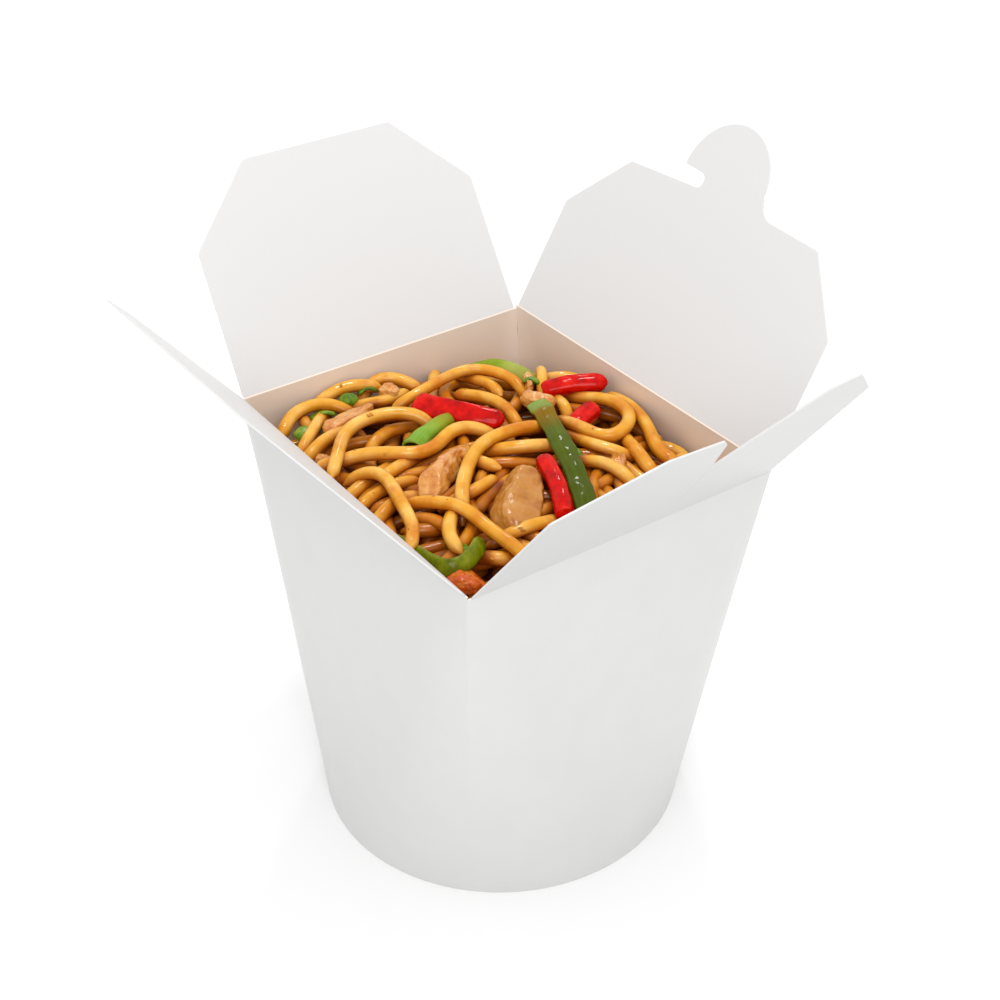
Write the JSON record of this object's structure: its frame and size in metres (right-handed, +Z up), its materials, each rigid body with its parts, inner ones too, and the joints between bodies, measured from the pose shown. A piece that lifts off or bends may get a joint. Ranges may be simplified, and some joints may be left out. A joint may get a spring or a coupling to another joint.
{
  "type": "noodle takeaway box",
  "caption": "Open white board takeaway box with a square mouth, round foot and folding lid flaps, filled with stir-fried noodles, vegetables and chicken.",
  "frame": {"origin": "middle of the carton's flat underside, on the surface it stands on", "axes": "+Z up; X along the long sides of the mouth, from the plain flap at -X to the slit flap at +X; +Y towards the flap with the hook tab"},
  "size_m": [0.1648, 0.1496, 0.1627],
  "materials": {
    "white_board": "satin",
    "noodle": "gloss",
    "red_pepper": "gloss",
    "green_vegetable": "gloss",
    "chicken": "satin",
    "carrot": "gloss"
  },
  "bodies": {
    "filled_carton": {"carton": "white_board", "noodles": "noodle", "pepper_red_1": "red_pepper", "pepper_red_2": "red_pepper", "pepper_red_3": "red_pepper", "pepper_red_4": "red_pepper", "pepper_green_1": "green_vegetable", "pepper_green_2": "green_vegetable", "onion_stalk": "green_vegetable", "onion_leaf": "green_vegetable", "chicken_1": "chicken", "chicken_2": "chicken", "chicken_3": "chicken", "chicken_4": "chicken", "carrot": "carrot"},
    "left_lid": {"flap_left": "white_board"},
    "right_lid": {"flap_right": "white_board"},
    "back_lid": {"flap_back": "white_board"},
    "front_lid": {"flap_front": "white_board"}
  },
  "joints": [
    {"name": "left_fold", "type": "hinge", "parent": "filled_carton", "child": "left_lid", "pos_m": [-0.0503, 0, 0.10495], "axis": [0, 1, 0], "range_deg": [-135, 121.2]},
    {"name": "right_fold", "type": "hinge", "parent": "filled_carton", "child": "right_lid", "pos_m": [0.0503, 0, 0.10495], "axis": [0, -1, 0], "range_deg": [-127, 128]},
    {"name": "back_fold", "type": "hinge", "parent": "filled_carton", "child": "back_lid", "pos_m": [0, 0.042, 0.10575], "axis": [1, 0, 0], "range_deg": [-135, 116.2]},
    {"name": "front_fold", "type": "hinge", "parent": "filled_carton", "child": "front_lid", "pos_m": [0, -0.042, 0.10575], "axis": [-1, 0, 0], "range_deg": [-126, 127.5]}
  ]
}
